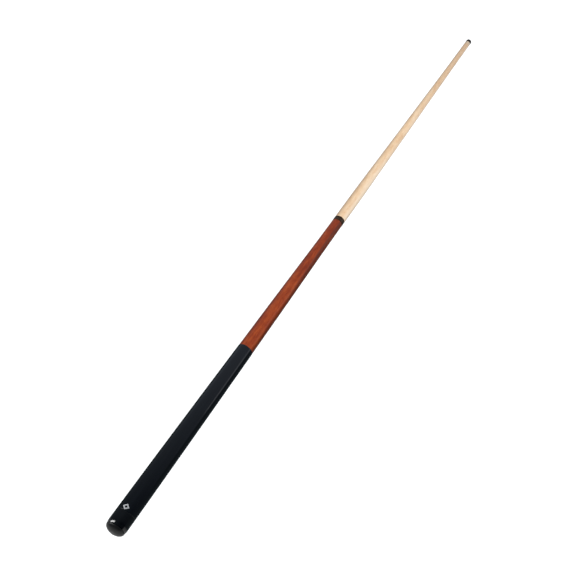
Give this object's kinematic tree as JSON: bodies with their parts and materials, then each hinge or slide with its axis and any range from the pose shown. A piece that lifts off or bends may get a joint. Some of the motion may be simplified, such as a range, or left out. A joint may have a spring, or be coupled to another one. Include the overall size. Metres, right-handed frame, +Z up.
{
  "type": "pool cue",
  "caption": "Two-piece pool cue: black butt handle with a rubber bumper, red-brown forearm, black joint collars and a tapered maple shaft with ferrule and leather tip.",
  "frame": {"origin": "centre of the bumper's flat end, on the cue's axis", "axes": "+X along the cue from the bumper to the tip, +Z up"},
  "size_m": [1.473, 0.0324, 0.0324],
  "materials": {
    "matte_rubber": "matte",
    "steel": "satin",
    "brass": "satin",
    "black_gloss": "gloss",
    "black_lacquer": "gloss",
    "red_brown_wood": "gloss",
    "collar_black": "gloss",
    "maple": "satin",
    "ferrule_cream": "satin",
    "black_fibre": "matte",
    "black_leather": "matte"
  },
  "bodies": {
    "butt": {"bumper_bushing": "brass", "butt_cap": "black_gloss", "weight_bolt": "steel", "handle": "black_lacquer", "handle_joint_screw": "steel", "forearm": "red_brown_wood", "joint_collar": "collar_black", "joint_pin": "steel"},
    "shaft_ring": {"shaft_collar": "collar_black"},
    "shaft": {"shaft": "maple", "shaft_insert": "brass", "ferrule": "ferrule_cream", "tip_pad": "black_fibre", "cue_tip": "black_leather"},
    "bumper_ring": {"bumper_washer": "steel"},
    "bumper": {"bumper": "matte_rubber", "bumper_screw": "steel"}
  },
  "joints": [
    {"name": "shaft_slide", "type": "slide", "parent": "butt", "child": "shaft_ring", "axis": [1, 0, 0], "range_m": [0, 0.033]},
    {"name": "shaft_turn", "type": "hinge", "parent": "shaft_ring", "child": "shaft", "pos_m": [0.735, 0, 0], "axis": [1, 0, 0], "range_deg": [0, 4680]},
    {"name": "bumper_slide", "type": "slide", "parent": "butt", "child": "bumper_ring", "axis": [-1, 0, 0], "range_m": [0, 0.015]},
    {"name": "bumper_turn", "type": "hinge", "parent": "bumper_ring", "child": "bumper", "pos_m": [0.008, 0, 0], "axis": [-1, 0, 0], "range_deg": [0, 3420]}
  ],
  "couplings": [
    {"joint": "shaft_turn", "follows": "shaft_slide", "rad_per_m": 2473.7},
    {"joint": "bumper_turn", "follows": "bumper_slide", "rad_per_m": 3957.9}
  ]
}
